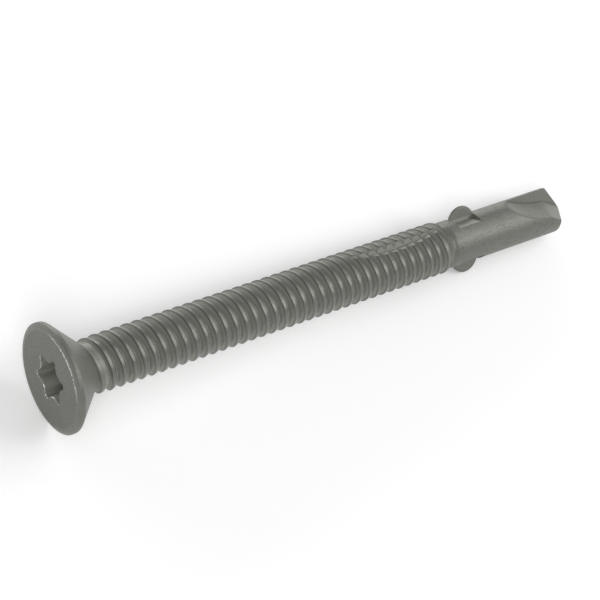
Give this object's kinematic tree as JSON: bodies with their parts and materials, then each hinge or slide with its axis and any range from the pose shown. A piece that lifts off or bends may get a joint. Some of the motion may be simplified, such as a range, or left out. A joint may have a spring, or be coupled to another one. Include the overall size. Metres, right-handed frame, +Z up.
{
  "type": "winged self-drilling screw",
  "caption": "Winged self-drilling screw: flat countersunk head with six-lobe recess, fine thread with a tapping slot, break-off wings and fluted drill point.",
  "frame": {"origin": "on the surface it lies on, below the middle of its bounding box", "axes": "+Z up; +X runs along the screw from its head to its drill point, which dips by 3.02 degrees because the head rim and the drill shank rest on the surface; the lower wing is 0.16 mm above it"},
  "size_m": [0.0634, 0.0108, 0.0107],
  "materials": {
    "steel": "satin grey coating"
  },
  "bodies": {
    "root": {"screw": "steel"}
  },
  "joints": []
}
